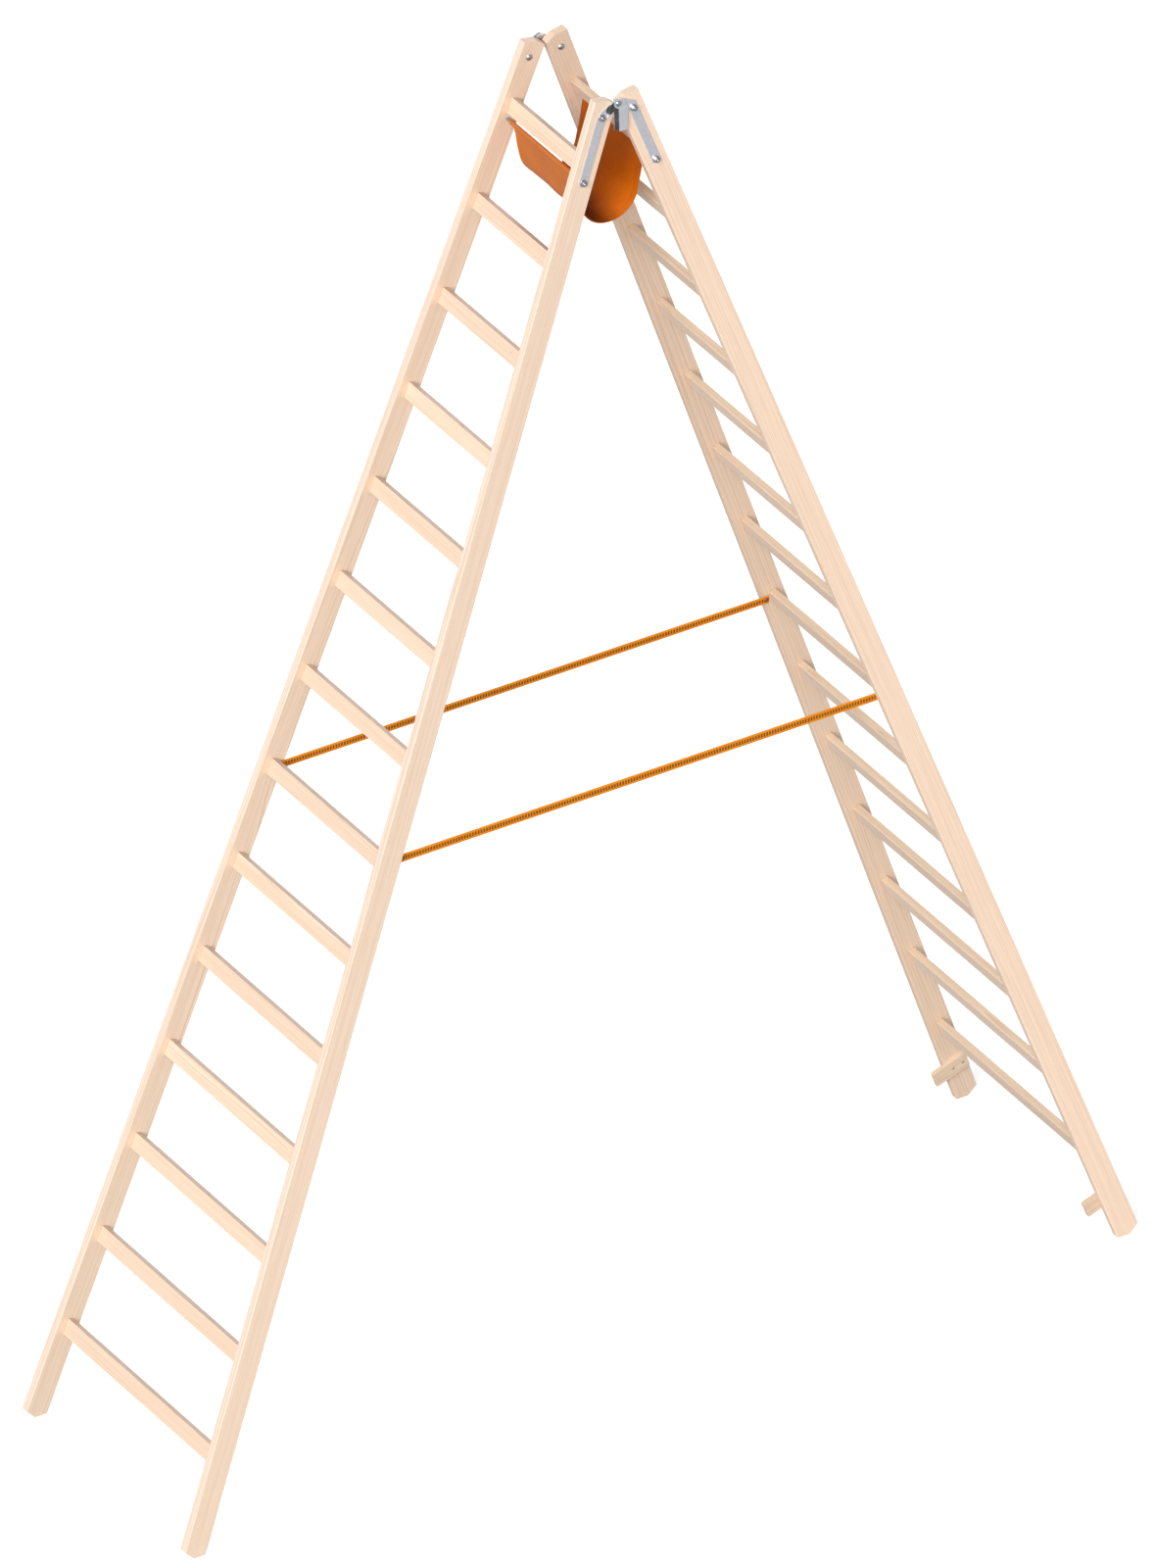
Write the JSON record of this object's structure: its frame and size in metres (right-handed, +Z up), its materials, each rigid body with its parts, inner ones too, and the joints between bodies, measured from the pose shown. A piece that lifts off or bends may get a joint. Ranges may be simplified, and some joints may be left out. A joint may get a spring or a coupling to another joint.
{
  "type": "wooden double stepladder",
  "caption": "Wooden double ladder with flat rungs, hinged at the top, with a cloth tool sling under the hinges and webbing straps that limit its spread.",
  "frame": {"origin": "on the floor, in the middle of the four feet", "axes": "+Z up; +X along the rungs; -Y towards the front ladder, +Y towards the back ladder"},
  "size_m": [0.7652, 2.766, 3.6563],
  "materials": {
    "wood": "planed softwood, clear satin varnish",
    "zinc_steel": "bright zinc plate",
    "screw_steel": "bright zinc plate",
    "dark_plastic": "black nylon",
    "coated_cloth": "orange coated tarpaulin",
    "webbing": "orange woven webbing"
  },
  "bodies": {
    "front_ladder": {"front_stile_left": "wood", "front_stile_right": "wood", "front_rung_01": "wood", "front_rung_02": "wood", "front_rung_03": "wood", "front_rung_04": "wood", "front_rung_05": "wood", "front_rung_06": "wood", "front_rung_07": "wood", "front_rung_08": "wood", "front_rung_09": "wood", "front_rung_10": "wood", "front_rung_11": "wood", "front_rung_12": "wood", "front_rung_13": "wood", "front_rung_14": "wood", "front_hinge_leaf_left": "zinc_steel", "front_hinge_leaf_right": "zinc_steel", "hinge_wear_plate_right": "dark_plastic", "hinge_pivot_right": "zinc_steel", "front_hinge_bolts": "zinc_steel", "front_hinge_nuts": "zinc_steel", "sling_rod_front": "zinc_steel", "front_rod_nuts": "zinc_steel", "front_strap_screws": "screw_steel", "tool_sling": "coated_cloth", "spread_strap_left": "webbing", "spread_strap_right": "webbing"},
    "back_ladder": {"back_stile_left": "wood", "back_stile_right": "wood", "back_rung_01": "wood", "back_rung_02": "wood", "back_rung_03": "wood", "back_rung_04": "wood", "back_rung_05": "wood", "back_rung_06": "wood", "back_rung_07": "wood", "back_rung_08": "wood", "back_rung_09": "wood", "back_rung_10": "wood", "back_rung_11": "wood", "back_rung_12": "wood", "back_rung_13": "wood", "back_rung_14": "wood", "back_hinge_leaf_left": "zinc_steel", "back_hinge_leaf_right": "zinc_steel", "hinge_wear_plate_left": "dark_plastic", "hinge_pivot_left": "zinc_steel", "back_hinge_bolts": "zinc_steel", "back_hinge_nuts": "zinc_steel", "sling_rod_back": "zinc_steel", "back_rod_nuts": "zinc_steel", "back_strap_screws": "screw_steel", "guide_block_left": "wood", "guide_block_right": "wood", "guide_block_screws": "screw_steel"}
  },
  "joints": [
    {"name": "ladder_fold", "type": "hinge", "parent": "front_ladder", "child": "back_ladder", "pos_m": [0, 0, 3.63724], "axis": [-1, 0, 0], "range_deg": [0, 40], "deforming": ["tool_sling", "spread_strap_left", "spread_strap_right"]}
  ]
}
